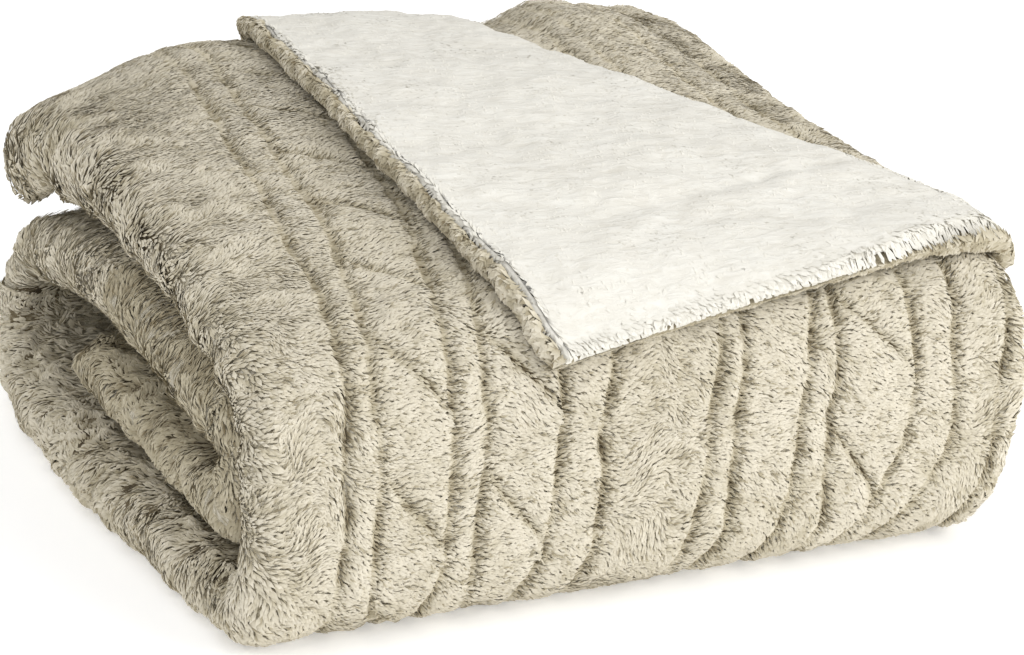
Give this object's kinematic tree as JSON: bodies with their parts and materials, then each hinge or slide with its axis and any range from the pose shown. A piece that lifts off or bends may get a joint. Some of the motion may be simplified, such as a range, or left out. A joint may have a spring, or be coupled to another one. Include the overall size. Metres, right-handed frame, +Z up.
{
  "type": "folded cable knit throw",
  "caption": "Thick plush throw with a sculpted cable pattern and a fleece back, folded lengthwise in thirds and rolled into a bundle, with one corner turned back over the top.",
  "frame": {"origin": "middle of the footprint, on the surface that the bundle lies on", "axes": "+Z up; X along the bundle, from the end with the open roll (-X) to the end with the closed fold (+X); -Y is the rounded front"},
  "size_m": [0.4672, 0.4519, 0.2259],
  "materials": {
    "plush": "deep beige pile with sculpted cables",
    "fleece": "cream tufted fleece"
  },
  "bodies": {
    "root": {"plush_face_panel": "plush", "fleece_back_panel": "fleece"}
  },
  "joints": []
}
